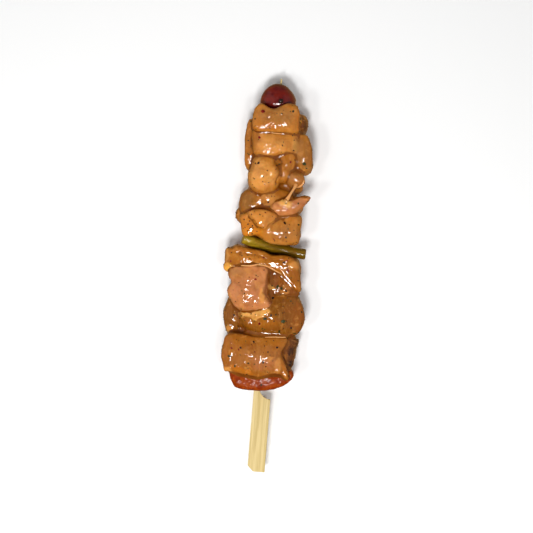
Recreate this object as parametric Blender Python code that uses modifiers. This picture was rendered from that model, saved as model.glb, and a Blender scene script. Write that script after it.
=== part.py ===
"""A raw marinated chicken kebab on a flat-handled bamboo skewer, lying down with its shown side up.

The skewer runs along Y with its point at +Y, and Z is up. Everything is first placed in millimetres: x to
the right of the stem, y back from a spot just short of its point, z above the table. At the end one empty
carries all of it, so that the middle of the whole object's base is the origin.
"""

import math
import random

import bmesh
import bpy
from mathutils import Euler, Matrix, Vector, noise
from mathutils.bvhtree import BVHTree
from mathutils.geometry import interpolate_bezier

MM = 0.001

# Bamboo skewer
SKEWER_LENGTH = 254.0
POINT_AT = 2.1  # past the spot that places are counted from
STEM_WIDTH = 3.0
SKEWER_THICKNESS = 3.0
STEM_HEIGHT = 19.0  # of the stem's middle above the table
POINT_LENGTH = 16.0
POINT_WIDTH = 0.9
HANDLE_WIDTH = 11.2
HANDLE_LENGTH = 47.0
SHOULDER_LENGTH = 9.0  # of the hollow curve that runs from the handle's corner into the stem
SHOULDER_STEPS = 7
HANDLE_CORNER = 3.6  # cut off the handle's far corner

# Food
GAP = 0.35  # between touching pieces
TOMATO_RADIUS = 11.6
TOMATO_PLACE = (-0.8, -12.8, STEM_HEIGHT)
BEAN_RADIUS = 3.25
BEAN_SIDES = 14
STRAND_RADIUS = 0.95

# How finely the soft pieces are made
VOXEL = 1.0
SMOOTHING = 4
RESMOOTHING = 1
FOLD_DEPTH = 0.8
FOLD_SIZE = 10.0
SIDE_FOLD_DEPTH = 2.6  # below the shoulder of the shown side
SHOULDER_HEIGHT = 27.0
WRINKLE_DEPTH = 0.35
WRINKLE_SIZE = 4.0
ROUND_STEPS = 4
OUTLINE_STEPS = 3
SMOOTH_REACH = 1 / 6  # of the chord beside a corner, as the handle of a smooth curve through it
TOMATO_FACES = 360
PEPPER_FACES = 400
CHICKEN_FACES = 720

# Larger than the whole kebab
ABOVE_ALL = 100.0
TABLE_SIZE = 400.0
# Shorter than any edge that the shape needs
TINY_EDGE = 0.02

# Spice flakes that lie on the food
FLAKE_SIDES = 5
FLAKE_THICKNESS = 1.1  # about half of it sunk in the food
FLAKE_OVAL = 0.7  # its width over its length
FLAKE_TOP = 0.6  # its upper face over its lower one
FLAKE_CLEAR = 1.0  # from every other piece
FLAKE_SEED = 7


def clear_scene():
    for old in list(bpy.data.objects):
        bpy.data.objects.remove(old, do_unlink=True)


def new_collection(name, hidden=False):
    group = bpy.data.collections.new(name)
    bpy.context.scene.collection.children.link(group)
    group.hide_render = hidden
    return group


def material(name, colour, roughness):
    made = bpy.data.materials.new(name)
    made.use_nodes = True
    shader = made.node_tree.nodes["Principled BSDF"]
    shader.inputs["Base Color"].default_value = (*colour, 1.0)
    shader.inputs["Roughness"].default_value = roughness
    shader.inputs["Metallic"].default_value = 0.0
    return made


def object_of(shape, name, group):
    """A new object in the group from a bmesh, which is freed."""
    mesh = bpy.data.meshes.new(name)
    shape.to_mesh(mesh)
    shape.free()
    made = bpy.data.objects.new(name, mesh)
    group.objects.link(made)
    return made


def apply_modifiers(obj):
    bpy.context.view_layer.update()
    graph = bpy.context.evaluated_depsgraph_get()
    old = obj.data
    obj.data = bpy.data.meshes.new_from_object(obj.evaluated_get(graph))
    obj.modifiers.clear()
    bpy.data.meshes.remove(old)


def turned(degrees):
    return Euler([math.radians(a) for a in degrees]).to_matrix()


def lobe(at, half, turn=(0, 0, 0)):
    """A swelling of a soft piece: an ellipsoid of these half sizes about this place."""

    def add_to(shape):
        for vert in bmesh.ops.create_icosphere(shape, subdivisions=3, radius=1.0)["verts"]:
            vert.co = (turned(turn) @ (vert.co * Vector(half)) + Vector(at)) * MM

    return add_to


def rounded_outline(corners):
    """The outline with each corner eased: points on a closed smooth curve through the corners."""
    points = []
    count = len(corners)
    for i in range(count):
        before, start, end, after = (Vector((*corners[(i + k) % count], 0.0)) for k in (-1, 0, 1, 2))
        ahead = start + (end - before) * SMOOTH_REACH
        behind = end - (after - start) * SMOOTH_REACH
        curve = interpolate_bezier(start, ahead, behind, end, OUTLINE_STEPS + 1)
        points += curve[:-1]
    return points


def slab(corners, low, high, edge, dome=1.0, tilt=(0, 0, 0)):
    """A flat-topped piece of meat over this outline, with rounded edges and a slightly domed top."""

    def add_to(shape):
        outline = rounded_outline(corners)
        middle = sum(outline, Vector()) / len(outline)
        reach = sum((p - middle).length for p in outline) / len(outline)
        profile = []
        for step in range(ROUND_STEPS + 1):
            angle = math.radians(90) * step / ROUND_STEPS
            profile.append((1 - edge * (1 - math.cos(angle)) / reach, edge * (1 - math.sin(angle))))
        profile.append((0.5 * profile[-1][0], -0.75 * dome))  # halfway up the dome
        centre = Vector((middle.x, middle.y, (low + high) / 2))
        rings = []
        levels = [(scale, low + sink) for scale, sink in reversed(profile)]
        levels += [(scale, high - sink) for scale, sink in profile]
        for scale, z in levels:
            ring = []
            for p in outline:
                place = Vector((middle.x, middle.y, z)) + (p - middle) * scale
                ring.append(shape.verts.new((turned(tilt) @ (place - centre) + centre) * MM))
            rings.append(ring)
        count = len(outline)
        for lower, upper in zip(rings, rings[1:]):
            for i in range(count):
                j = (i + 1) % count
                shape.faces.new((lower[i], lower[j], upper[j], upper[i]))
        for ring, z in ((rings[0], low - dome), (rings[-1], high + dome)):
            place = Vector((middle.x, middle.y, z))
            pole = shape.verts.new((turned(tilt) @ (place - centre) + centre) * MM)
            for i in range(count):
                shape.faces.new((ring[i], ring[(i + 1) % count], pole))

    return add_to


def unevenness(vert):
    """How far the surface stands out or in here, with the deepest folds low down on the sides."""
    fold = noise.noise(vert.co / (FOLD_SIZE * MM))
    wrinkle = noise.noise(vert.co / (WRINKLE_SIZE * MM)) * WRINKLE_DEPTH
    drop = min(max((SHOULDER_HEIGHT - vert.co.z / MM) / SHOULDER_HEIGHT, 0.0), 1.0)
    side = drop * (1 - abs(vert.normal.z))
    return fold * FOLD_DEPTH + wrinkle + side * (fold - 0.25) * SIDE_FOLD_DEPTH


def melt(piece, smoothing):
    """Makes one skin round all that the piece holds, and softens it."""
    skin = piece.modifiers.new("skin", "REMESH")
    skin.mode = "VOXEL"
    skin.voxel_size = VOXEL * MM
    soften = piece.modifiers.new("soften", "SMOOTH")
    soften.factor = 0.5
    soften.iterations = smoothing
    apply_modifiers(piece)


def soft_piece(name, forms, group, faces):
    """Forms melted into one soft lump with an uneven surface and about this many triangles."""
    shape = bmesh.new()
    for add_form in forms:
        add_form(shape)
    bmesh.ops.recalc_face_normals(shape, faces=shape.faces)
    piece = object_of(shape, name, group)
    melt(piece, SMOOTHING)
    for vert in piece.data.vertices:
        vert.co += vert.normal * unevenness(vert) * MM
    melt(piece, RESMOOTHING)
    thin = piece.modifiers.new("thin", "DECIMATE")
    thin.ratio = faces / (2 * len(piece.data.polygons))
    apply_modifiers(piece)
    return piece


def grown(piece, group):
    """A copy of the piece that is larger by the gap all round, for cutting its neighbours."""
    copy = bpy.data.objects.new(piece.name + "_grown", piece.data.copy())
    group.objects.link(copy)
    grow = copy.modifiers.new("grow", "DISPLACE")
    grow.strength = GAP * MM
    grow.mid_level = 0.0
    apply_modifiers(copy)
    return copy


def cut(piece, cutter):
    away = piece.modifiers.new("cut", "BOOLEAN")
    away.operation = "DIFFERENCE"
    away.solver = "MANIFOLD"
    away.object = cutter


def keep_largest(obj):
    """Drops the loose scraps and the tiny edges that a cut can leave."""
    shape = bmesh.new()
    shape.from_mesh(obj.data)
    bmesh.ops.dissolve_degenerate(shape, edges=shape.edges, dist=TINY_EDGE * MM)
    left = set(shape.verts)
    islands = []
    while left:
        island = {left.pop()}
        waiting = list(island)
        while waiting:
            for edge in waiting.pop().link_edges:
                for vert in edge.verts:
                    if vert in left:
                        left.discard(vert)
                        island.add(vert)
                        waiting.append(vert)
        islands.append(island)
    islands.sort(key=len)
    scraps = [vert for island in islands[:-1] for vert in island]
    bmesh.ops.delete(shape, geom=scraps, context="VERTS")
    shape.to_mesh(obj.data)
    shape.free()


def tube(name, places, radius, sides, group):
    """A round bar with blunt ends along these places."""
    shape = bmesh.new()
    rings = []
    points = [Vector(p) for p in places]
    for i, point in enumerate(points):
        along = (points[min(i + 1, len(points) - 1)] - points[max(i - 1, 0)]).normalized()
        across = along.cross(Vector((0, 0, 1))).normalized()
        up = across.cross(along)
        ring = []
        for k in range(sides):
            angle = math.tau * k / sides
            spoke = across * math.cos(angle) + up * math.sin(angle)
            ring.append(shape.verts.new((point + spoke * radius) * MM))
        rings.append(ring)
    for ring, following in zip(rings, rings[1:]):
        for k in range(sides):
            shape.faces.new((ring[k], ring[(k + 1) % sides], following[(k + 1) % sides], following[k]))
    shape.faces.new(rings[0])
    shape.faces.new(rings[-1])
    bmesh.ops.recalc_face_normals(shape, faces=shape.faces)
    return object_of(shape, name, group)


def chicken_forms():
    """The nine chunks from the point to the handle, each as the swellings and slabs that make it."""
    return {
        "chicken_1": [
            slab([(-15.8, -22), (-14.2, -17.8), (-11.4, -15.8), (-8, -17.6), (-3.5, -18.6), (0.5, -17.2),
                  (4, -15.4), (9, -15.2), (12.6, -18), (13.6, -27), (12.4, -34), (0, -34.4), (-14.4, -34),
                  (-16, -28)], 3, 36.5, 3.0),
            lobe((14, -27, 16), (6, 8, 12)),
            lobe((-2, -29, 10), (15, 8, 11)),
        ],
        "chicken_2": [
            slab([(-14.4, -31), (9, -30), (12.4, -33), (12.6, -46.4), (8, -45.8), (-0.7, -49.6), (-7, -50.4),
                  (-12.6, -49.4), (-14.8, -42)], 2, 34.5, 3.5),
            slab([(12, -36), (17, -32.8), (20.4, -34.4), (23.4, -42), (24.2, -51), (23.4, -56.4), (19, -58.7),
                  (15, -56.4), (12.6, -49)], 7, 33, 5),
            slab([(-19.6, -28), (-15, -25), (-11, -30), (-12, -56), (-17, -58), (-19.6, -50)], 4, 25, 3.5),
            lobe((1, -44, 9), (17, 9.5, 11.5)),
        ],
        "chicken_3": [
            slab([(-12, -50), (-14.6, -55), (-16.4, -62), (-15, -69), (-9.6, -73.5), (-3, -73.3),
                  (2.4, -70.6), (4.4, -64), (3, -55), (-4, -48.4)], 4, 38, 7, dome=2.2),
            slab([(-1, -45), (11, -43.5), (14.4, -50), (12.6, -58), (7, -65), (0, -66)], 3, 33.5, 5),
            lobe((15, -62.6, 28), (5.2, 5.4, 6.6)),
            lobe((15.5, -67.5, 18), (4.6, 4.8, 8)),
            lobe((0, -62, 10), (16, 9.5, 11.5)),
        ],
        "chicken_4": [
            slab([(-20, -76), (-16.5, -71), (-8, -68), (2, -68), (5, -76), (2, -88), (-8, -89), (-17.6, -88),
                  (-20.4, -82)], 2, 31.5, 5),
            slab([(-8, -70), (6, -69), (13, -72), (14.4, -82), (8, -87), (-4, -88)], 3, 33.5, 5),
            slab([(-1, -81.8), (5, -77.8), (14.7, -74), (24, -72.6), (22.8, -77.2), (16.6, -83.6),
                  (9, -85.6), (2, -86.6)], 26, 36.6, 2.5, tilt=(0, -4, 0)),
            lobe((10, -80, 14), (11, 7.5, 13.5)),
        ],
        "chicken_5": [
            slab([(-19.4, -88), (-13, -85.4), (4, -86.4), (19, -85), (19.8, -93), (19.6, -102),
                  (16.4, -104.4), (4, -104.6), (-3, -103.3), (-8, -100.4), (-15.4, -101.6),
                  (-17.8, -96)], 2, 35.5, 4.5, dome=1.5),
            slab([(-22.2, -85.8), (-19, -82.6), (-15, -84), (-15, -92), (-19.4, -92.6),
                  (-22.2, -89.8)], 8, 26, 3),
            slab([(-14.6, -86), (-5, -83.6), (4.6, -86.8), (-0.6, -93), (-4.2, -96.4), (-10, -90)],
                 30, 38.8, 1.5, dome=0.4),
            slab([(-17, -86), (0, -83), (17, -84), (18, -94), (0, -97), (-17, -96)], 2, 27, 5),
            lobe((0, -95, 9), (18.5, 9.5, 11)),
        ],
        "chicken_6": [
            slab([(-26.4, -113), (-26.4, -109.8), (-22.7, -109.4), (-20, -107), (-10.6, -109), (-3, -109.8),
                  (3, -111.9), (13.7, -111.9), (18.4, -114), (21.9, -120), (22.9, -128), (22.4, -134.4),
                  (15.6, -128.6), (8, -123), (-1, -120.8), (-12, -121.8), (-25.4, -121.4)],
                 4, 36.5, 3.5, dome=0.6),
            lobe((-24.4, -121.6, 33), (2.6, 2.6, 3)),
            lobe((-2, -113.5, 11), (21.5, 9.5, 12.5)),
            lobe((13.6, -120, 15), (9, 12, 14.5)),
        ],
        "chicken_7": [
            slab([(-22, -121.4), (-12, -118), (0, -118), (2.4, -124), (3.2, -135), (5.9, -143),
                  (3.6, -147.7), (-6, -148.5), (-15, -148), (-19.4, -144.4), (-23.9, -137.2),
                  (-20.6, -131), (-22.6, -127.8)], 5, 39.5, 5, dome=1.8),
            slab([(0, -119), (10, -116), (19.4, -120), (22.2, -130), (21.6, -137), (12, -141), (2, -141)],
                 3, 34.5, 5, dome=1.5),
            lobe((0, -132, 10), (19.6, 11, 12)),
        ],
        "chicken_8": [
            slab([(-14, -142), (-14.4, -149), (-11.8, -157.6), (-8, -161.2), (-3, -164), (4, -164.5),
                  (13, -163.4), (22, -161.6), (26.6, -156), (27.3, -150), (25, -143), (20.6, -136),
                  (10, -133), (-6, -137)], 3, 36, 6.5, dome=4),
            slab([(-20.6, -140), (-24.2, -146), (-24.8, -154), (-22.4, -163), (-14, -165), (-9, -160),
                  (-9, -144)], 2, 28, 4.5),
            lobe((2, -151, 9), (19.5, 12.5, 11.5)),
        ],
        "chicken_9": [
            slab([(-21.4, -164.8), (-23.6, -171), (-23.8, -177), (-21.8, -184), (-21.4, -188), (-17, -187.6),
                  (-3.4, -189.6), (1, -190.3), (8, -187.9), (14.6, -186.6), (20.4, -191), (18.4, -183),
                  (14.6, -177), (14, -172), (17.6, -163.4), (4, -164), (-14, -163.6)], 21, 37.6, 2.2, dome=2),
            slab([(-20.4, -165), (-21.4, -180), (-14, -187), (6, -187), (21, -185), (23.4, -172),
                  (21.4, -163)], 2, 26, 5),
            lobe((-2, -176, 10), (20.5, 12, 12)),
        ],
    }


def pepper_forms():
    """A strip of pepper wall on its side, its ends curled forward round the last chunk."""
    return [
        slab([(-17.2, -186), (-17.2, -191), (-15, -195.6), (-12, -198.3), (0, -198.8), (8, -198),
              (14, -196.2), (19.6, -192.8), (23.2, -188.8), (21.4, -184), (14, -186), (4, -187.5),
              (-6, -187.5), (-12, -186.5)], 1.5, 32.5, 1.6, dome=0.3),
    ]


def bean_path():
    """From its cut end over the left edge down into the valley between two chunks."""
    return interpolate_bezier(
        Vector((-16.2, -102.8, 30.0)), Vector((-4.0, -105.8, 27.5)), Vector((8.0, -108.6, 22.0)),
        Vector((24.5, -109.6, 22.5)), 12
    )


def strand_path():
    """A pale string of sinew from the third chunk's small bulge down to the fourth."""
    return interpolate_bezier(
        Vector((15.0, -67.0, 32.5)), Vector((12.6, -69.5, 35.0)), Vector((11.4, -72.0, 37.0)),
        Vector((9.3, -77.0, 36.5)), 6
    )


# Which pieces lie over which: each piece is cut by those listed for it
LIES_UNDER = {
    "chicken_1": ["cherry_tomato"],
    "chicken_2": ["chicken_1"],
    "chicken_3": ["chicken_2"],
    "chicken_4": ["chicken_3"],
    "chicken_5": ["chicken_4", "green_bean"],
    "chicken_6": ["chicken_5", "green_bean"],
    "chicken_7": ["chicken_6"],
    "chicken_8": ["chicken_7", "chicken_9"],
    "red_pepper": ["chicken_9"],
}


# The largest flakes where they lie: x, y and radius
FLAKES = {
    "cherry_tomato": [(0.7, -13.6, 1.7)],
    "chicken_1": [(-10, -21.5, 1.5), (9, -20, 1.0), (2, -22, 0.8)],
    "chicken_2": [(19, -52.5, 1.5), (20.5, -55.0, 1.1), (-11, -38, 1.2), (4, -42, 0.9)],
    "chicken_3": [(-10.2, -54.5, 1.1), (10, -52, 1.0)],
    "chicken_4": [(-2, -78.5, 0.9), (17, -78, 0.9)],
    "chicken_5": [(9.5, -91, 1.1), (-12, -96, 1.0), (11, -100, 0.9)],
    "chicken_6": [(14, -121, 1.3), (-2, -114, 1.0), (11, -116, 0.9)],
    "chicken_7": [(8.3, -131.5, 1.6), (10.8, -132.6, 1.3), (5.9, -139, 1.2), (-6, -128, 0.9),
                  (14, -134, 1.0)],
    "chicken_8": [(1.9, -152.5, 1.4), (13.7, -153.2, 1.6), (11.6, -160, 1.3), (-1.3, -156, 1.1),
                  (5.5, -150, 1.0), (18.9, -157, 1.0), (-18, -152, 1.0)],
    "chicken_9": [(-4, -167.5, 1.0), (11, -170, 1.0), (-19, -178, 1.2), (3, -180, 1.2), (-12, -172, 0.9)],
    "red_pepper": [(3, -195, 0.9)],
}


def flake(at, normal, radius, turn, group):
    """A thin flat crumb of dried leaf, half sunk where it lies."""
    shape = bmesh.new()
    bmesh.ops.create_cone(
        shape,
        cap_ends=True,
        segments=FLAKE_SIDES,
        radius1=radius * MM,
        radius2=FLAKE_TOP * radius * MM,
        depth=FLAKE_THICKNESS * MM,
        matrix=Matrix.Rotation(turn, 4, "Z") @ Matrix.Diagonal((1.0, FLAKE_OVAL, 1.0, 1.0)),
    )
    made = object_of(shape, "flake", group)
    made.matrix_world = Matrix.Translation(at) @ normal.to_track_quat("Z", "Y").to_matrix().to_4x4()
    return made


def add_flakes(pieces, strand):
    """Fuses the flakes onto the pieces they lie on, and the string of sinew onto the fourth chunk."""
    draw = random.Random(FLAKE_SEED)
    graph = bpy.context.evaluated_depsgraph_get()
    trees = {name: BVHTree.FromObject(piece, graph) for name, piece in pieces.items()}
    for name, piece in pieces.items():
        group = new_collection(name + "_flakes", hidden=True)
        if name == "chicken_4":
            group.objects.link(strand)
        for x, y, radius in FLAKES.get(name, []):
            turn = draw.uniform(0, math.pi)
            at, normal, _, _ = trees[name].ray_cast(Vector((x, y, ABOVE_ALL)) * MM, Vector((0, 0, -1)))
            near = [tree.find_nearest(at)[3] for other, tree in trees.items() if other != name]
            if min(near) > (radius + FLAKE_CLEAR) * MM:
                flake(at, normal, radius, turn, group)
        if group.objects:
            join = piece.modifiers.new("flakes", "BOOLEAN")
            join.operation = "UNION"
            join.solver = "EXACT"
            join.operand_type = "COLLECTION"
            join.collection = group
            apply_modifiers(piece)
        for scrap in list(group.objects):
            bpy.data.objects.remove(scrap, do_unlink=True)
        bpy.data.collections.remove(group)


def skewer_bar(name, clearance, group):
    """The stem with its point, and the handle that stands out to one side of it."""
    left = -STEM_WIDTH / 2 - clearance
    right = STEM_WIDTH / 2 + clearance
    handle_right = -STEM_WIDTH / 2 + HANDLE_WIDTH + clearance
    end = POINT_AT - SKEWER_LENGTH
    shoulder = end + HANDLE_LENGTH + clearance
    tip = POINT_WIDTH / 2 + clearance
    outline = [
        (-tip, POINT_AT),
        (left, POINT_AT - POINT_LENGTH),
        (left, end + HANDLE_CORNER),
        (left + HANDLE_CORNER, end),
        (handle_right, end),
    ]
    for step in range(SHOULDER_STEPS + 1):
        angle = math.radians(90) * step / SHOULDER_STEPS
        x = handle_right - (handle_right - right) * math.sin(angle)
        y = shoulder + SHOULDER_LENGTH * (1 - math.cos(angle))
        outline.append((x, y))
    outline += [(right, POINT_AT - POINT_LENGTH), (tip, POINT_AT)]
    half = SKEWER_THICKNESS / 2 + clearance
    shape = bmesh.new()
    verts = [shape.verts.new((x * MM, y * MM, (STEM_HEIGHT - half) * MM)) for x, y in outline]
    raised = bmesh.ops.extrude_face_region(shape, geom=[shape.faces.new(verts)])["geom"]
    tops = [item for item in raised if isinstance(item, bmesh.types.BMVert)]
    bmesh.ops.translate(shape, verts=tops, vec=(0, 0, 2 * half * MM))
    bmesh.ops.recalc_face_normals(shape, faces=shape.faces)
    return object_of(shape, name, group)


def taper_point(skewer):
    """Thins the stem from above and below towards its point."""
    middle = STEM_HEIGHT * MM
    for vert in skewer.data.vertices:
        if vert.co.y > 0:
            vert.co.z = middle + (vert.co.z - middle) * POINT_WIDTH / SKEWER_THICKNESS


def below_table(group):
    """Everything under the table's surface, as a block that cuts the undersides flat."""
    shape = bmesh.new()
    size = TABLE_SIZE * MM
    middle = Vector((0, -SKEWER_LENGTH / 2 * MM, -size / 2))
    bmesh.ops.create_cube(shape, size=size, matrix=Matrix.Translation(middle))
    return object_of(shape, "below_table", group)


def stand_on_origin(objects):
    """Parents everything to one empty that brings the middle of the whole base to the origin."""
    bpy.context.view_layer.update()
    corners = [obj.matrix_world @ Vector(corner) for obj in objects for corner in obj.bound_box]
    low = [min(corner[axis] for corner in corners) for axis in range(3)]
    high = [max(corner[axis] for corner in corners) for axis in range(3)]
    carrier = bpy.data.objects.new("carrier", None)
    bpy.context.scene.collection.objects.link(carrier)
    carrier.location = (-(low[0] + high[0]) / 2, -(low[1] + high[1]) / 2, -low[2])
    for obj in objects:
        obj.parent = carrier


def build():
    clear_scene()
    kebab = new_collection("kebab")
    cutters = new_collection("cutters", hidden=True)
    chicken = material("chicken", (0.55, 0.25, 0.07), 0.3)
    finishes = {
        "cherry_tomato": material("tomato_skin", (0.20, 0.012, 0.012), 0.2),
        "green_bean": material("bean_skin", (0.22, 0.19, 0.02), 0.35),
        "red_pepper": material("pepper_flesh", (0.40, 0.06, 0.015), 0.3),
    }

    ball = [lobe(TOMATO_PLACE, (TOMATO_RADIUS,) * 3)]
    pieces = {"cherry_tomato": soft_piece("cherry_tomato", ball, kebab, TOMATO_FACES)}
    for name, forms in chicken_forms().items():
        pieces[name] = soft_piece(name, forms, kebab, CHICKEN_FACES)
    pieces["green_bean"] = tube("green_bean", bean_path(), BEAN_RADIUS, BEAN_SIDES, kebab)
    pieces["red_pepper"] = soft_piece("red_pepper", pepper_forms(), kebab, PEPPER_FACES)
    skewer = skewer_bar("skewer", 0.0, kebab)
    taper_point(skewer)
    skewer.data.materials.append(material("bamboo", (0.80, 0.62, 0.30), 0.55))

    grown_pieces = {name: grown(piece, cutters) for name, piece in pieces.items()}
    table = below_table(cutters)
    channel = skewer_bar("channel", GAP, cutters)
    for name, piece in pieces.items():
        for other in LIES_UNDER.get(name, []):
            cut(piece, grown_pieces[other])
        cut(piece, table)
        cut(piece, channel)
        apply_modifiers(piece)
        keep_largest(piece)
    strand = tube("strand", strand_path(), STRAND_RADIUS, 6, cutters)
    add_flakes(pieces, strand)
    for name, piece in pieces.items():
        keep_largest(piece)
        piece.data.materials.clear()
        piece.data.materials.append(finishes.get(name, chicken))
        piece.data.shade_smooth()
    for cutter in cutters.objects:
        cutter.hide_render = True
        cutter.display_type = "WIRE"
    stand_on_origin([*pieces.values(), skewer])


build()
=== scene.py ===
"""The looks of a raw marinated chicken kebab: wet uneven meat, herb flakes, tomato, bean, pepper and bamboo.

Sizes are in millimetres until the last step of each mesh. Places on the kebab are counted as x to the right
of the stem and y back from just short of the skewer's point, as the model was laid out; place() turns them
into the frame's own metres.
"""

import math
import random

import bmesh
import bpy
import numpy as np
from mathutils import Matrix, Vector, noise
from mathutils.bvhtree import BVHTree
from mathutils.geometry import interpolate_bezier


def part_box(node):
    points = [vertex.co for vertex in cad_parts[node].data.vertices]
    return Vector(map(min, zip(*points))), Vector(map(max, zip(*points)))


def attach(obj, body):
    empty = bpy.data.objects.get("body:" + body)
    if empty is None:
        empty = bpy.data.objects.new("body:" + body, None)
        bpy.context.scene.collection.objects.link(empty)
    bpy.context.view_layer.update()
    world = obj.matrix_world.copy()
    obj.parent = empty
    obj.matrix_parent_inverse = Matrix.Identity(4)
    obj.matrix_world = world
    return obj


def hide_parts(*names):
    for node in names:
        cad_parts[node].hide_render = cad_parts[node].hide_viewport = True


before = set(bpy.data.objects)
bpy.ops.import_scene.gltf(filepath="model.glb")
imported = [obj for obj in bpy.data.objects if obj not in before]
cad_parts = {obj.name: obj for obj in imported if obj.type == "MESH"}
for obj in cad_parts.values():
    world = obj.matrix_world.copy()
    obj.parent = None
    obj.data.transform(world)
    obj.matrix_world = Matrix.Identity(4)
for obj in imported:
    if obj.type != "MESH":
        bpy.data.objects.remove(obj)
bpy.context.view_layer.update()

MM = 0.001

# The skewer gives the frame of all places
STEM_HALF_WIDTH = 1.5
POINT_AT = 2.1
SKEWER_LOW, SKEWER_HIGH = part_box("skewer")
AXIS_X = SKEWER_LOW.x / MM + STEM_HALF_WIDTH
AXIS_Y = SKEWER_HIGH.y / MM - POINT_AT
ABOVE_ALL = 100.0        # a height from which a line is dropped on the food

CHICKEN = [f"chicken_{i}" for i in range(1, 10)]

# How finely the food is made, and how often each step smooths it
MEAT_VOXEL = 0.46
MEAT_SMOOTHING = 12
CAVITY_SMOOTHING = 50
SMOOTHING_LOSS = 0.15    # what smoothing takes off a rounded solid, put back afterwards


def place(x, y, z=0.0):
    """A place on the kebab, in the frame's metres."""
    return Vector((x + AXIS_X, y + AXIS_Y, z)) * MM


def add_object(name, mesh):
    """Puts the mesh in the scene under this name."""
    made = bpy.data.objects.new(name, mesh)
    bpy.context.scene.collection.objects.link(made)
    return made


def apply_modifiers(obj):
    """Turns the object's modifiers into its mesh."""
    bpy.context.view_layer.update()
    graph = bpy.context.evaluated_depsgraph_get()
    old = obj.data
    obj.data = bpy.data.meshes.new_from_object(obj.evaluated_get(graph))
    obj.modifiers.clear()
    bpy.data.meshes.remove(old)


def remeshed(obj, voxel):
    """Gives the object one even skin with faces of this size."""
    skin = obj.modifiers.new("skin", "REMESH")
    skin.mode = "VOXEL"
    skin.voxel_size = voxel * MM
    apply_modifiers(obj)


def softened(obj, times):
    """Smooths the object this many times."""
    soften = obj.modifiers.new("soften", "SMOOTH")
    soften.factor = 0.5
    soften.iterations = times
    apply_modifiers(obj)


def swollen(obj, by):
    """Moves the whole surface out by this much, or in where it is below zero."""
    swell = obj.modifiers.new("swell", "DISPLACE")
    swell.strength = by * MM
    swell.mid_level = 0.0
    apply_modifiers(obj)


def points_of(mesh):
    """The places of the mesh's points, one row each."""
    points = np.empty(len(mesh.vertices) * 3, np.float32)
    mesh.vertices.foreach_get("co", points)
    return points.reshape(-1, 3)


def normals_of(mesh):
    """The way that the surface faces at each point."""
    normals = np.empty(len(mesh.vertices) * 3, np.float32)
    mesh.vertex_normals.foreach_get("vector", normals)
    return normals.reshape(-1, 3)


def set_points(mesh, points):
    """Moves the mesh's points to these places."""
    mesh.vertices.foreach_set("co", points.astype(np.float32).ravel())
    mesh.update()


def store(mesh, name, values):
    """Keeps one number a vertex for the material."""
    layer = mesh.attributes.new(name, "FLOAT", "POINT")
    layer.data.foreach_set("value", values.astype(np.float32))


def store_colour(mesh, name, colours):
    """Keeps one colour a vertex for the material."""
    layer = mesh.attributes.new(name, "FLOAT_COLOR", "POINT")
    full = np.ones((len(colours), 4), np.float32)
    full[:, :3] = colours
    layer.data.foreach_set("color", full.ravel())


def smooth_step(low, high, values):
    """0 at low, 1 at high and an even curve between; high may be the smaller of the two."""
    share = np.clip((values - low) / (high - low), 0.0, 1.0)
    return share * share * (3 - 2 * share)


def noise_at(points, size, seed=0.0):
    """Smooth noise of this size at each point, about -0.6 to 0.6."""
    shift = Vector((seed, 1.7 * seed, -2.3 * seed))
    return np.array([noise.noise(Vector(p) / (size * MM) + shift) for p in points.tolist()], np.float32)


def linear(red, green, blue):
    """A colour seen on a screen, 0 to 255, as the shader needs it."""
    shown = [c / 255 for c in (red, green, blue)]
    return tuple(c / 12.92 if c <= 0.04045 else ((c + 0.055) / 1.055) ** 2.4 for c in shown)


# Colours of the marinated meat, some of which also serve as painted shade and painted light
GOLDEN = linear(190, 118, 38)
LIGHT_GOLDEN = linear(226, 154, 74)
AMBER = linear(146, 78, 6)
TAN = linear(168, 110, 52)
GREYISH = linear(142, 90, 28)
PINK = linear(202, 128, 74)
MAUVE = linear(182, 112, 70)
PALE = linear(232, 168, 84)
FAT = linear(242, 172, 66)
ORANGE = linear(192, 108, 14)
OCHRE = linear(168, 98, 18)
OLIVE = linear(128, 72, 6)
# Painted shade: the dark of a chunk's side that lies in shade
SHADE_BROWN = linear(62, 20, 0)
# A deep tone of the meat, and also the painted shade in creases, hollows and on the sides
DEEP_TONE_AND_SHADE = linear(106, 52, 2)
FLAP = linear(210, 136, 56)
SAND = linear(206, 138, 64)
BRIGHT_ORANGE = linear(212, 126, 20)
DARK_TAN = linear(156, 98, 38)
DULL_TAN = linear(164, 100, 42)
DARK_AMBER = linear(126, 64, 4)
RUSSET = linear(158, 90, 18)
SHADED_GAP = linear(38, 8, 0)


def oval(x, y, half_x, half_y, turn=0.0):
    """An oval outline's corners."""
    lean = math.radians(turn)
    corners = []
    for k in range(8):
        angle = math.tau * k / 8
        along, across = half_x * math.cos(angle), half_y * math.sin(angle)
        corners.append((x + along * math.cos(lean) - across * math.sin(lean),
                        y + along * math.sin(lean) + across * math.cos(lean)))
    return corners


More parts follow.
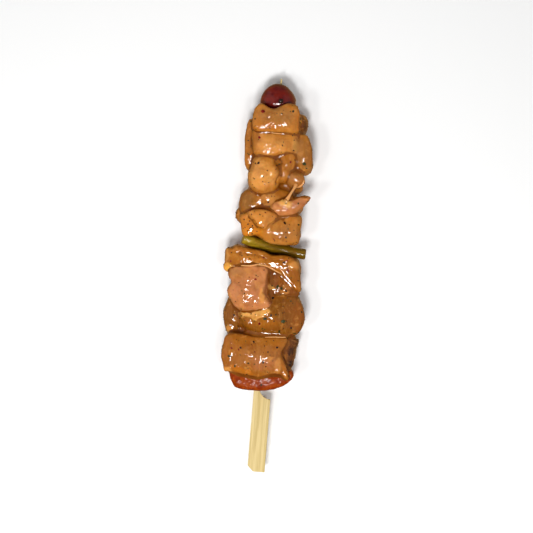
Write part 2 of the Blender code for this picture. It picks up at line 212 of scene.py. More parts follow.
# The base colour of each chunk, then its patches: outline, half width of the edge, lift, colour and its share
MEAT_PATCHES = {
    "chicken_1": (GOLDEN, [
        (oval(-1, -23, 11, 6), 3, 0, TAN, 0.9),
        # Painted shade: these two darken the right lobe's shaded side to a deep brown
        ([(14.2, -20), (17, -21), (21, -27), (21, -34), (14, -34)], 1, -0.4, DEEP_TONE_AND_SHADE, 1),
        (oval(18.6, -30, 2.4, 3.2, 20), 1.2, 0, SHADE_BROWN, 0.9),
        (oval(-8, -31, 8, 2.5), 2, 0.2, ORANGE, 0.45),
        (oval(13.4, -26, 1.3, 7), 0.8, 0.2, ORANGE, 0.7),
    ]),
    "chicken_2": (GOLDEN, [
        (oval(17, -46, 6.5, 11, 15), 2, 0, DARK_TAN, 0.9),
        (oval(-3, -42, 10, 5.5), 3, 0.3, LIGHT_GOLDEN, 0.9),
        (oval(-16, -40, 4, 18), 2, 0, OCHRE, 0.8),
        (oval(12, -41, 2.4, 4, 20), 1.5, 0.2, PALE, 0.35),
        (oval(22.5, -46, 2.2, 9, 10), 1.2, 0, OCHRE, 0.7),
    ]),
    "chicken_3": (GOLDEN, [
        (oval(-7.5, -62, 8.5, 9), 3, 0, LIGHT_GOLDEN, 0.95),
        (oval(6, -53, 6, 6), 3, 0, OCHRE, 0.7),
        (oval(9, -62.5, 4, 5.5, 20), 2, 0.8, OCHRE, 0.5),
        (oval(14.6, -62.4, 5, 5.4), 1.2, 0.7, TAN, 0.8),
        # Painted shade: these two darken the lower edge, where the chunk overhangs the next
        (oval(8, -71, 5, 3.5), 2, -0.6, SHADE_BROWN, 0.9),
        (oval(16, -71, 4, 3), 2, 0, DEEP_TONE_AND_SHADE, 0.8),
        (oval(-11, -52, 3.5, 2.2), 1.5, 0.2, PALE, 0.35),
    ]),
    "chicken_4": (OCHRE, [
        (oval(-15, -79, 6, 7), 4, 0, GREYISH, 0.9),
        (oval(-2, -77, 7, 4), 3, 0.2, SAND, 0.85),
        ([(0.6, -81.1), (2.9, -78.7), (7.2, -75.8), (12.3, -76.2), (17.9, -75), (24.5, -73),
          (18.5, -81.9), (12.4, -85.9), (6.8, -87.6), (2.8, -85.1)], 0.9, 0.8, PINK, 1),
        (oval(18, -77.5, 5, 2.2, 15), 1.2, 0, MAUVE, 0.8),
        (oval(9.1, -78.6, 4, 2.4, 5), 1, 1, PALE, 0.95),
        (oval(17, -85.5, 6, 2.2, 30), 1.2, 0, ORANGE, 0.6),
    ]),
    "chicken_5": (GOLDEN, [
        (oval(-11, -95, 8, 8), 2.5, 0, BRIGHT_ORANGE, 0.8),
        ([(-14, -87), (-10.1, -90.3), (-7.3, -93.3), (-4.7, -95.4), (-3.1, -95.3), (-1, -92.9),
          (3, -89), (2, -84), (-12, -84)], 0.45, 0.5, FLAP, 0.9),
        (oval(9, -97, 8, 5), 5, 1, TAN, 0.8),
        (oval(4, -105, 9, 2.2), 1.5, 0.3, LIGHT_GOLDEN, 0.35),
    ]),
    "chicken_6": (OCHRE, [
        (oval(-24.2, -122, 3, 3), 1, 0.7, FAT, 1),
        (oval(-13, -114, 11, 4, -2), 4, 0, GOLDEN, 0.75),
        (oval(16, -124, 6, 6), 2, 0, AMBER, 0.6),
        (oval(17.2, -117.7, 3, 2.6), 1.2, 0.6, LIGHT_GOLDEN, 0.6),
        (oval(-26, -113, 1.8, 7), 1, 0, PALE, 0.4),
        (oval(3, -121, 6, 1.6, -25), 1, 0, AMBER, 0.7),
    ]),
    "chicken_7": (DARK_AMBER, [
        ([(-22, -122), (-10, -120), (1, -121), (0.6, -128), (-0.8, -134.5), (-0.1, -138.9), (5.6, -147),
          (-4, -150), (-16, -147), (-27, -139), (-27, -130)], 1.6, 0.5, PINK, 1),
        (oval(-9, -136, 9, 8), 5, 0, MAUVE, 0.6),
        (oval(-18, -125, 6, 3), 2, 0, TAN, 0.6),
        (oval(-1.5, -138, 1.6, 5, 10), 1.2, 0.2, LIGHT_GOLDEN, 0.8),
        (oval(11, -126, 7, 4, -20), 3, -0.3, AMBER, 0.4),
        (oval(4.3, -132.3, 1.8, 1.6), 0.8, 0.2, PALE, 0.8),
        (oval(13.2, -134.8, 2.4, 1.6, 30), 0.8, 0.1, LIGHT_GOLDEN, 0.5),
        (oval(12.7, -144.2, 1.6, 2.2), 0.8, 0.1, LIGHT_GOLDEN, 0.4),
    ]),
    "chicken_8": (OLIVE, [
        (oval(0, -154.5, 11, 4), 4, 0, OCHRE, 0.8),
        ([(-15, -147.5), (-14, -152.6), (-9.5, -152), (-5, -153.6), (1.5, -151.8), (4.5, -148), (0, -146)],
         0.9, 0.4, PALE, 0.9),
        (oval(-20, -152, 6, 9), 2, 0, OLIVE, 0.8),
        (oval(-20.5, -161.5, 2.2, 3, 20), 0.9, 0.5, LIGHT_GOLDEN, 0.7),
        (oval(23, -150, 4, 10), 2.5, 0, AMBER, 0.8),
    ]),
    "chicken_9": (RUSSET, [
        (oval(1, -176, 13, 7), 7, 1, DULL_TAN, 0.9),
        (oval(-16, -172, 6, 7), 3, 0, OCHRE, 0.6),
        (oval(2, -167, 14, 2.5), 1.5, 0, OCHRE, 0.6),
        (oval(4, -181, 9, 4), 3, 0, MAUVE, 0.55),
        (oval(-10, -186, 8, 2, -20), 1.2, 0.3, ORANGE, 0.7),
        (oval(-18.5, -187, 3.4, 2, -20), 0.9, 0.3, LIGHT_GOLDEN, 0.7),
        (oval(12.5, -181, 2.4, 4), 1.2, 0.2, LIGHT_GOLDEN, 0.5),
        (oval(16.5, -181, 1.5, 8, 15), 0.9, 0.2, ORANGE, 0.6),
        (oval(22.5, -174, 5, 13), 1.6, 0, SHADED_GAP, 1),
    ]),
}

# Narrow raised folds and creases on the shown side: path, width, and height, which is below zero for a crease
FOLDS = {
    "chicken_1": [([(13.8, -17), (14.4, -24), (13.6, -32)], 0.9, 0.5),
                   ([(-15, -21), (-6, -23), (3, -20)], 1.6, 0.4)],
    "chicken_2": [([(-13, -47), (-3, -47.8), (7, -44)], 1.2, 0.5)],
    "chicken_3": [([(3, -48), (4.2, -57), (2.6, -66)], 1.2, -0.8),
                   ([(-13, -60), (-10, -66), (-4, -69)], 1.5, 0.4)],
    "chicken_4": [([(-5.5, -74), (-3.6, -76.4), (-5.4, -78.6)], 0.8, 0.5)],
    "chicken_5": [([(8, -88), (12, -95), (10, -102)], 1.8, -0.5)],
    "chicken_6": [([(-20, -112), (-6, -113), (10, -115.6)], 1.4, -0.5),
                   ([(-16, -110), (-15, -114), (-15.6, -118)], 0.8, 0.4)],
    "chicken_7": [([(-22, -129), (-15, -133), (-12, -140)], 1.2, -0.5),
                   ([(-14, -146), (-8, -141), (-7, -134)], 1.2, 0.4)],
    "chicken_8": [([(-15, -143), (-15.6, -152), (-14, -162)], 1, -0.9),
                   ([(20, -140), (23, -148), (22, -157)], 1.8, -0.4)],
    "chicken_9": [([(2, -169), (1, -178), (5, -186)], 1.4, -0.3),
                   ([(11, -170), (9, -178), (13, -185)], 1.2, 0.3)],
}

# The oily film stands in beads, and these are the places of their lit sides, towards the handle
BEADS = {
    "chicken_1": [(2.6, -29.6), (4.2, -27.6), (5.8, -26.4), (3.4, -30.6), (5.6, -29.8), (7.2, -30.8),
        (9, -30), (5, -28.6), (6.6, -27.6), (7.4, -28.8), (6.2, -30), (8.8, -24.4), (9.8, -26.6),
        (9.6, -29.4), (-5, -29.6), (-3.6, -28.2), (-2, -28.8), (-3, -31), (-1, -30.6), (0.4, -30)],
    "chicken_2": [(-10, -42), (-8.4, -44.4), (-7.4, -47), (-8.2, -42.2), (-6.2, -45.4), (-5.2, -48),
        (-6, -42.4), (-4.4, -45.6), (-4, -47.6), (-3.8, -41.8), (-2.4, -44.6), (-2.6, -47), (-0.6, -40.6),
        (0, -42.8), (-1.2, -44.8), (1, -40.6), (1, -43), (0, -45), (-5, -48.6), (-1.6, -47.6), (1, -46.8),
        (3.2, -45.8), (-2.8, -46), (-0.6, -46.6), (0.4, -48)],
    "chicken_3": [(-14.4, -61.6), (-13.2, -62.4), (-13.4, -64), (-14.6, -65.2), (-13, -67), (-11.2, -66.4),
        (-10.2, -67.6), (-9.4, -64), (-7.8, -65), (-8, -66.8), (-10.8, -61.2), (-9.4, -59.6), (-7.6, -59.8),
        (-5.6, -57.4), (-4.8, -59.8), (-5.4, -62), (-0.8, -57.4), (0.8, -59.2), (2.2, -61.8), (2.4, -64.6),
        (0.6, -56.8), (2.6, -59.4), (3.4, -62.6), (-1.6, -60.4), (-0.4, -62.4), (-1, -65), (0.2, -67.4),
        (12, -60.8), (13.2, -62), (14.6, -61.8), (11.4, -64.6), (12.4, -65.8), (12.2, -67.2), (-9.6, -52.4),
        (-8.8, -54.6), (-7, -56)],
    "chicken_4": [*oval(-4.2, -77, 1.3, 1.4), (-5.4, -74.4), (-3.4, -73.2), (-1.4, -73.8), (-2.6, -75.6),
        (-0.8, -75), (0.2, -76.4), (1.8, -83), (3.2, -84.8), (5.2, -85.8), (6.2, -84.6), (8.4, -85),
        (10.2, -84.2)],
    "chicken_5": [(-8.8, -91.2), (-6.6, -93.4), (-4.4, -95), (-13.6, -86.4), (-11.8, -87.4), (-10.6, -88.6),
        (1.4, -101.2), (4, -102.4), (7, -102)],
    "chicken_6": [(-14.6, -114.8), (-10.4, -114.4), (-6.4, -114.4), (-3.2, -113.2), (-1.4, -113.4),
        (-2.2, -112), (-0.4, -114.2), (2, -115.6), (3.6, -117.2), (-14, -114), (-13.4, -116.4),
        (-13.6, -118.6), (-12, -115), (-11.2, -117), (5, -117.2), (7, -117), (9, -118.2), (-4, -118.4),
        (-2.4, -118), (-1, -118.6), (-26, -110.8), (-25.4, -113.6), (-25.6, -116.6)],
    "chicken_7": [(-8, -124.4), (-7, -126.6), (-7.4, -129), (-9.2, -131), (-12.8, -130.6), (-11.2, -131.8),
        (-9.6, -132.4), (-13, -128.8), (-11.6, -129.6), (-15.2, -140.2), (-14.6, -142.6), (-12.8, -144.6),
        (-10.6, -146.4), (-8.6, -145.6), (-13.4, -141.2), (-11.8, -142.6), (-10.2, -144.6), (-8.2, -138.6),
        (-7.2, -141), (-8, -143), (-5.8, -144.6), (-4.2, -146.8), (-3, -145.2), (-2.4, -144), (-1.2, -145.4),
        (-1, -135.2), (0, -138.6), (2.2, -140.8), (5, -143.2), (2.4, -141.4), (2.6, -144.4), (1.8, -146.4),
        (3.4, -147.6), (5.2, -146.6)],
    "chicken_8": [(-6.4, -151.4), (-5.6, -153.2), (-3.8, -152), (-1.2, -150.6), (-0.6, -152.2), (-24, -152),
        (-24.4, -155), (-23.8, -158.6)],
    "chicken_9": [(-8.2, -176.4), (-6.8, -174.6), (-7, -172), (-5.2, -171.2), (-4, -170.4), (-3, -171.6),
        (-2.6, -173.2), (-0.8, -172.6), (-1, -174.6), (0, -176.4), (-2, -176.8), (-3.6, -177.6), (-4, -180),
        (-3.4, -180.8), (-4.8, -182.8), (-7, -182.8), (-8.6, -182), (-7.4, -179.8), (-6.2, -177),
        (-5.8, -174), (-5.2, -173.6), (-4, -174.2), (-3.4, -176), (-4.8, -178), (-5.4, -181), (-6.8, -181),
        (-6.4, -178.4), (-5.2, -176), (-2.8, -181), (-1.6, -182.6), (-1, -184.6), (-1.2, -187), (-14.6, -183),
        (-12, -184.8), (-9, -186.4), (-6.2, -187.8), (0.8, -181.6), (1.6, -182.8), (3.2, -182), (2.4, -178.4),
        (4, -178.8), (5, -177.6), (7.8, -174.4), (8.4, -177.4), (7.8, -180.4), (8.4, -184.8), (9.4, -173),
        (10.4, -174.4), (11, -172.4), (10.8, -178), (12.4, -180), (14.2, -182), (6, -182), (7, -183.6)],
}
BEAD_WIDTH = 1.2
BEAD_HEIGHT = 0.27
BEAD_RISE = 0.05         # how much higher they are for each 100 mm towards the point

# Low mounds whose sides towards the handle face the light: x and y of the middle of each lit side, and size
MOUNDS = [(5.5, -29, 1.0), (-4.5, -45.5, 1.6), (-9, -65, 1.1), (0.5, -62, 1.0), (12.5, -63, 0.8),
          (-4, -77, 0.8), (4, -84, 0.8), (-6.5, -93, 1.0), (-9, -130, 1.0), (-12, -143, 1.1), (3, -144, 1.0),
          (-5, -145.5, 0.8), (-4, -152, 0.8), (-5, -179, 1.5), (8, -180, 1.0), (-10, -186, 1.0)]
MOUND_WIDTH = 3.6
MOUND_HEIGHT = 0.85
MOUND_RISE = 0.20
LIT_SIDE = 0.7           # the steepest ring of a mound or bead, as a share of its width

# The meat's unevenness everywhere: the size and height of its swells and of its ripples
SWELL_SIZE = 7.0
SWELL_HEIGHT = 0.32
RIPPLE_SIZE = 3.4
RIPPLE_HEIGHT = 0.07
RAGGED_SIZE = 4.0        # the wavering of the edges of patches and folds
RAGGED_REACH = 1.6


def curve_points(corners, count=24, closed=False):
    """Points on a smooth curve through these flat corners."""
    ends = [Vector((*c, 0.0)) for c in corners]
    total = len(ends)
    points = []
    for i in range(total if closed else total - 1):
        start, end = ends[i], ends[(i + 1) % total]
        before = ends[i - 1] if closed else ends[max(i - 1, 0)]
        after = ends[(i + 2) % total] if closed else ends[min(i + 2, total - 1)]
        leaving = start + (end - before) / 6
        arriving = end - (after - start) / 6
        points += interpolate_bezier(start, leaving, arriving, end, count)[:-1]
    if not closed:
        points.append(ends[-1])
    return np.array([(p.x, p.y) for p in points], np.float32)


def distance_to(flat, line):
    """How far each flat place lies from the nearest point of the line."""
    return np.sqrt(((flat[:, None, :] - line[None, :, :]) ** 2).sum(2)).min(1)


def inside(flat, outline):
    """True where a flat place lies within the closed outline."""
    crossed = np.zeros(len(flat), bool)
    for start, end in zip(outline, np.roll(outline, -1, 0)):
        rise = end[1] - start[1]
        if rise != 0:
            spans = (start[1] > flat[:, 1]) != (end[1] > flat[:, 1])
            crossed ^= spans & (flat[:, 0] < start[0] + (end[0] - start[0]) * (flat[:, 1] - start[1]) / rise)
    return crossed


def patch_share(flat, corners, edge):
    """1 within the outline, falling to 0 outside it over twice the edge's width."""
    outline = curve_points(corners, 8, closed=True)
    away = distance_to(flat, outline)
    return smooth_step(-edge, edge, np.where(inside(flat, outline), away, -away))


def flat_places(points):
    """The x and y of each point as counted on the kebab, in millimetres."""
    return points[:, :2] / MM - np.array((AXIS_X, AXIS_Y), np.float32)


def food_copy(node):
    """A copy of the node's solid, to be given its looks."""
    piece = add_object(node + "_looks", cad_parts[node].data.copy())
    piece.data.materials.clear()
    return piece


def unfaceted(node, voxel, smoothing):
    """The node's solid as a fine even mesh with its facets softened away."""
    piece = food_copy(node)
    remeshed(piece, voxel)
    softened(piece, smoothing)
    swollen(piece, SMOOTHING_LOSS)
    return piece


def removed(obj):
    """Takes out an object that was only there to be measured."""
    mesh = obj.data
    bpy.data.objects.remove(obj)
    bpy.data.meshes.remove(mesh)


def hollowness(piece):
    """Above zero where the surface is hollow, below where it stands out, in millimetres."""
    flattened = add_object("flattened", piece.data.copy())
    softened(flattened, CAVITY_SMOOTHING)
    away = (points_of(flattened.data) - points_of(piece.data)) / MM
    removed(flattened)
    return (away * normals_of(piece.data)).sum(1)


def joined(name, meshes):
    """One new object with all these meshes in it."""
    shape = bmesh.new()
    for mesh in meshes:
        shape.from_mesh(mesh)
    return shaped(name, shape)


def shaped(name, shape):
    """A new object from a bmesh, which is then freed."""
    mesh = bpy.data.meshes.new(name)
    shape.to_mesh(mesh)
    shape.free()
    return add_object(name, mesh)


# The rounded body that all the food makes together: face size, smoothing and how far it is let out
OUTLINE_VOXEL = 1.6
OUTLINE_SMOOTHING = 40
OUTLINE_SWELL = 1.2


def whole_outline(meshes):
    """The food as one rounded body, which bridges the valleys between the chunks."""
    body = joined("outline", meshes)
    remeshed(body, OUTLINE_VOXEL)
    softened(body, OUTLINE_SMOOTHING)
    swollen(body, OUTLINE_SWELL)
    corners = [vertex.co for vertex in body.data.vertices]
    tree = BVHTree.FromPolygons(corners, [face.vertices for face in body.data.polygons])
    removed(body)
    return tree


def depth_below(piece, tree):
    """Millimetres from each point out to the rounded body, below zero where the point stands proud of it."""
    depths = np.zeros(len(piece.data.vertices), np.float32)
    for i, point in enumerate(points_of(piece.data).tolist()):
        at, normal, _, distance = tree.find_nearest(point)
        depths[i] = math.copysign(distance / MM, (at - Vector(point)).dot(normal))
    return depths


# How near another piece has to be for its painted shade, the distance taken where none is, and how fast that
# painted shade fades
NEAR = 4.0
FAR = 9.0
TOUCH_FADES = 1.2


def nearness(piece, trees):
    """1 where another piece touches the surface, falling to 0 a few millimetres away."""
    found = np.full(len(piece.data.vertices), FAR, np.float32)
    points = points_of(piece.data).tolist()
    for tree in trees:
        for i, point in enumerate(points):
            hit = tree.find_nearest(point, NEAR * MM)
            if hit[0] is not None:
                found[i] = min(found[i], hit[3] / MM)
    return np.exp(-found / TOUCH_FADES)


# Painted shade, partly standing for marinade pooled in the creases: what deepens the colour, its weight, and
# the values where it starts and where it is full
SHADE_AND_MARINADE_BY = {
    "depth": (0.55, 0.9, 4.0),
    "hollow": (0.55, -0.1, 0.35),
    "touch": (0.45, 0.3, 0.9),
    "steep": (0.35, 0.90, 0.30),
    "low": (0.20, 26.0, 10.0),
}


def shaded(piece, colours, touch, outline, least=0.0):
    """Stores the tint, the painted shade (partly marinade pooled in the creases) that deepens it in creases,
    hollows, near other pieces and on steep or low places, and the painted light on raised tops.
    """
    mesh = piece.data
    points = points_of(mesh)
    steep = normals_of(mesh)[:, 2]
    hollow = hollowness(piece)
    causes = {"depth": depth_below(piece, outline), "hollow": hollow, "touch": touch, "steep": steep,
              "low": points[:, 2] / MM}
    # Painted shade: the weighted sum of what darkens the colour
    shade_and_marinade = np.zeros(len(points), np.float32)
    for cause, values in causes.items():
        weight, start, full = SHADE_AND_MARINADE_BY[cause]
        shade_and_marinade += weight * smooth_step(start, full, values)
    store_colour(mesh, "tint", colours)
    store(mesh, "shade_and_marinade", np.clip(shade_and_marinade, least, 1.0))
    # Painted light: raised places that face up are made lighter
    store(mesh, "painted_top_light", smooth_step(-0.15, -0.6, hollow) * smooth_step(0.75, 0.95, steep))


def mound(flat, x, y, width):
    """A round mound whose side towards the handle is steepest at this place, 1 at its top."""
    return np.exp(-((flat - (x, y + LIT_SIDE * width)) ** 2).sum(1) / width ** 2)


def risen(height, rise, y):
    """The height of a mound at this place: the lamp needs steeper sides towards the point."""
    return height + rise * (y + 100) / 100


def make_meat(node, trees, outline):
    """One chunk: the solid's form with the folds and flaps that show, and its colours."""
    index = int(node.split("_")[1])
    voxel = MEAT_VOXEL * 1.0
    piece = unfaceted(node, voxel, MEAT_SMOOTHING)
    mesh = piece.data
    points = points_of(mesh)
    normals = normals_of(mesh)
    flat = flat_places(points)
    top = smooth_step(14.0, 24.0, points[:, 2] / MM) * smooth_step(-0.2, 0.4, normals[:, 2])
    shown = smooth_step(2.0, 10.0, points[:, 2] / MM) * smooth_step(-0.3, 0.1, normals[:, 2])
    wavering = np.stack([noise_at(points, RAGGED_SIZE, 3.0), noise_at(points, RAGGED_SIZE, 9.0)], 1)
    ragged = flat + wavering * RAGGED_REACH

    lift = SWELL_HEIGHT * noise_at(points, SWELL_SIZE, index)
    lift += RIPPLE_HEIGHT * noise_at(points, RIPPLE_SIZE, index + 20)
    tint, patches = MEAT_PATCHES[node]
    colours = np.tile(np.array(tint, np.float32), (len(points), 1))
    for corners, edge, height, colour, strength in patches:
        share = patch_share(ragged, corners, edge)
        lift += share * top * height
        colours += (np.array(colour, np.float32) - colours) * (share * shown * strength)[:, None]
    for path, width, height in FOLDS[node]:
        lift += top * height * np.exp(-((distance_to(ragged, curve_points(path, 10)) / width) ** 2))
    for x, y, size in MOUNDS:
        height = size * risen(MOUND_HEIGHT, MOUND_RISE, y)
        lift += top * height * mound(flat, x, y, MOUND_WIDTH * size)
    low = smooth_step(0.0, 2.0, points[:, 2] / MM)
    set_points(mesh, points + normals * (lift * low)[:, None] * MM)
    shaded(piece, colours, nearness(piece, trees), outline)

    points = points_of(mesh)
    beads = np.zeros(len(points), np.float32)
    for x, y in BEADS[node]:
        beads = np.maximum(beads, risen(BEAD_HEIGHT, BEAD_RISE, y) * mound(flat, x, y, BEAD_WIDTH))
    set_points(mesh, points + normals_of(mesh) * (beads * top)[:, None] * MM)
    mesh.shade_smooth()
    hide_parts(node)
    return piece


class Nodes:
    """A short way to write a material's nodes."""

    def __init__(self, name):
        self.material = bpy.data.materials.new(name)
        self.material.use_nodes = True
        self.tree = self.material.node_tree
        self.shader = self.tree.nodes["Principled BSDF"]
        self.spot = self.add("ShaderNodeTexCoord").outputs["Object"]

    def add(self, kind, **settings):
        """A new node of this kind."""
        node = self.tree.nodes.new(kind)
        for key, value in settings.items():
            setattr(node, key, value)
        return node

    def give(self, node, **values):
        """Gives the node's inputs these values, or joins them to another node's output."""
        for key, value in values.items():
            socket = node.inputs[key.replace("_", " ")]
            if isinstance(value, bpy.types.NodeSocket):
                self.tree.links.new(value, socket)
            else:
                socket.default_value = value

    def set(self, **values):
        """Gives the shader's inputs these values."""
        self.give(self.shader, **values)

    def noise(self, size, detail=2.0, rough=0.5, distortion=0.0, stretch=None):
        """Noise of this size in millimetres, 0 to 1."""
        made = self.add("ShaderNodeTexNoise")
        self.give(made, Scale=1.0 / (size * MM), Detail=detail, Roughness=rough, Distortion=distortion)
        spot = self.spot
        if stretch is not None:
            mapping = self.add("ShaderNodeMapping")
            self.give(mapping, Scale=stretch, Vector=spot)
            spot = mapping.outputs["Vector"]
        self.give(made, Vector=spot)
        return made.outputs["Fac"]

    def attribute(self, name, output="Fac"):
        """What the mesh stores under this name."""
        return self.add("ShaderNodeAttribute", attribute_name=name).outputs[output]

    def ramp(self, value, low, high, out_low=0.0, out_high=1.0):
        """A smooth step from out_low to out_high where the value goes from low to high."""
        made = self.add("ShaderNodeMapRange", interpolation_type="SMOOTHSTEP")
        self.give(made, Value=value, From_Min=low, From_Max=high, To_Min=out_low, To_Max=out_high)
        return made.outputs["Result"]

    def times(self, value, factor):
        """The value multiplied by the factor."""
        made = self.add("ShaderNodeMath", operation="MULTIPLY")
        self.tree.links.new(value, made.inputs[0])
        made.inputs[1].default_value = factor
        return made.outputs["Value"]

    def mix(self, share, first, second):
        """The first colour with this share of the second."""
        made = self.add("ShaderNodeMix", data_type="RGBA")
        first, second = [(*c, 1.0) if isinstance(c, tuple) else c for c in (first, second)]
        self.give(made, Factor=share, A=first, B=second)
        return made.outputs["Result"]

    def blotched(self, colour, other, pattern, low, high, share=1.0):
        """The colour, with up to this share of the other where the pattern goes from low to high."""
        return self.mix(self.ramp(pattern, low, high, 0.0, share), colour, other)

    def bump(self, height, distance, strength=1.0, under=None):
        """Slopes that look this many millimetres high, on top of those under them."""
        made = self.add("ShaderNodeBump")
        self.give(made, Distance=distance * MM, Strength=strength, Height=height)
        if under is not None:
            self.give(made, Normal=under)
        return made.outputs["Normal"]


def see_through(nodes, weight, radius, scale):
    """Lets light into it: how much of it, how far each colour goes and the scale of that in millimetres."""
    nodes.set(Subsurface_Weight=weight, Subsurface_Radius=radius, Subsurface_Scale=scale * MM)


def wet(nodes, coat=0.65, roughness=0.07):
    """The film of oil and juice that lies on all of it, and hardly any shine below it."""
    nodes.set(Specular_IOR_Level=0.05, Coat_Weight=coat, Coat_Roughness=roughness, Coat_IOR=1.65)


# Blotches in the meat's colour: the noise's size, roughness and warp, from where to where, share and colour
BLOTCHES = [
    (8.0, 0.5, 0.4, 0.44, 0.68, 0.38, AMBER),
    (4.5, 0.55, 0.6, 0.52, 0.72, 0.35, LIGHT_GOLDEN),
    (3.2, 0.6, 0.8, 0.56, 0.74, 0.24, DEEP_TONE_AND_SHADE),
]


def meat_material():
    """Translucent flesh under an oily film, in the tints that each chunk's mesh carries, with the painted
    shade and painted light that it also carries.
    """
    nodes = Nodes("marinated_chicken")
    colour = nodes.attribute("tint", "Color")
    for size, rough, warp, start, end, share, blotch in BLOTCHES:
        colour = nodes.blotched(colour, blotch, nodes.noise(size, 3.0, rough, warp), start, end, share)
    fibres = nodes.noise(2.6, 2.0, 0.5, 0.6, (2.0, 0.45, 1.0))
    colour = nodes.blotched(colour, PALE, fibres, 0.46, 0.66, 0.06)
    # Painted light: raised places that face up are mixed towards light golden
    colour = nodes.mix(nodes.times(nodes.attribute("painted_top_light"), 0.15), colour, LIGHT_GOLDEN)
    # Painted shade, partly marinade: creases, hollows, places near other pieces and steep or low sides turn
    # deep brown
    colour = nodes.mix(nodes.times(nodes.attribute("shade_and_marinade"), 0.85), colour, DEEP_TONE_AND_SHADE)

    film = nodes.bump(nodes.noise(2.9, 0.0, 0.5, 0.6), 0.20, 1.0)
    flesh = nodes.bump(nodes.noise(2.0, 2.0, 0.5, 0.5), 0.25, 0.5)
    nodes.set(Base_Color=colour, Roughness=0.45, IOR=1.38, Normal=flesh)
    see_through(nodes, 0.30, (1.0, 0.4, 0.14), 2.5)
    wet(nodes, 0.65, 0.04)
    nodes.set(Coat_Normal=film)
    return nodes.material


def make_all_meat():
    """All nine chunks, and the rounded outline that their shading needs."""
    material = meat_material()
    graph = bpy.context.evaluated_depsgraph_get()
    trees = {name: BVHTree.FromObject(node, graph) for name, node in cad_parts.items()}
    outline = whole_outline([node.data for name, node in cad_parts.items() if name != "skewer"])
    order = ["cherry_tomato", *CHICKEN[:5], "green_bean", *CHICKEN[5:], "red_pepper"]
    made = {}
    for node in CHICKEN:
        at = order.index(node)
        beside = [trees[name] for name in order[max(at - 2, 0):at + 3] if name != node]
        made[node] = make_meat(node, beside, outline)
        made[node].data.materials.append(material)
    return made, outline


# The marinade fills gaps of up to twice the reach and lies this far below the meat's surface
SAUCE_REACH = 1.1
SAUCE_BELOW = 0.35
SAUCE_VOXEL = 1.0
SAUCE_LAST_VOXEL = 0.8
# The painted shade the sauce takes, as if other pieces touched it everywhere
SAUCE_TOUCH = 0.6
SAUCE_LEAST_SHADE = 0.75       # the least painted shade on it, so the creases between the pieces read dark


def make_marinade(parts, material, outline):
    """The sauce that fills the narrow creases between the pieces, just under their surfaces."""
    piece = joined("marinade", [part.data for part in parts])
    remeshed(piece, SAUCE_VOXEL)
    softened(piece, 1)
    swollen(piece, SAUCE_REACH)
    remeshed(piece, SAUCE_VOXEL)
    softened(piece, 4)
    swollen(piece, -(SAUCE_REACH + SAUCE_BELOW))
    remeshed(piece, SAUCE_LAST_VOXEL)
    softened(piece, 2)
    mesh = piece.data
    points = points_of(mesh)
    darker = smooth_step(-0.2, 0.3, noise_at(points, 6.0, 31))[:, None]
    colours = np.array(OCHRE) * (1 - darker) + np.array(AMBER) * darker
    # Painted shade: the sauce in the creases is darkened as if touched, and never less than its least shade
    shaded(piece, colours, np.full(len(points), SAUCE_TOUCH), outline, SAUCE_LEAST_SHADE)
    mesh.shade_smooth()
    mesh.materials.clear()
    mesh.materials.append(material)
    return piece


def roughened(mesh, *layers):
    """Moves the surface in and out by layers of noise, each with its height, size and seed."""
    points = points_of(mesh)
    lift = sum(height * noise_at(points, size, seed) for height, size, seed in layers)
    set_points(mesh, points + normals_of(mesh) * lift[:, None] * MM)


TOMATO_RED = linear(88, 10, 14)
TOMATO_ORANGE = linear(116, 24, 12)
TOMATO_BLOOM = linear(140, 72, 80)


def tomato_material():
    """Dark red skin with a pale bloom."""
    nodes = Nodes("tomato_skin")
    base = nodes.blotched(TOMATO_RED, TOMATO_ORANGE, nodes.noise(6.0, 3.0), 0.35, 0.65)
    base = nodes.blotched(base, TOMATO_BLOOM, nodes.noise(3.0, 3.0, 0.6, 0.5), 0.58, 0.80, 0.25)
    bumps = nodes.bump(nodes.noise(2.2, 0.0, 0.5, 0.3), 0.3, 1.0)
    nodes.set(Base_Color=base, Roughness=0.4, IOR=1.4)
    see_through(nodes, 0.1, (1.0, 0.2, 0.1), 2.0)
    wet(nodes, 0.65, 0.06)
    nodes.set(Coat_Normal=bumps)
    return nodes.material


def make_tomato():
    """The cherry tomato at the point."""
    piece = unfaceted("cherry_tomato", 0.7, 24)
    roughened(piece.data, (0.10, 5.0, 2), (0.04, 1.6, 5))
    piece.data.shade_smooth()
    piece.data.materials.append(tomato_material())
    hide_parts("cherry_tomato")
    return piece


BEAN_END = linear(166, 134, 26)
BEAN_OLIVE = linear(108, 74, 4)
BEAN_DARK_LINE = linear(84, 74, 8)
BEAN_PALE_LINE = linear(168, 148, 48)
BEAN_STAIN = linear(128, 80, 16)
# Painted shade for the bean's underside
BEAN_UNDER_SHADE = linear(60, 56, 10)


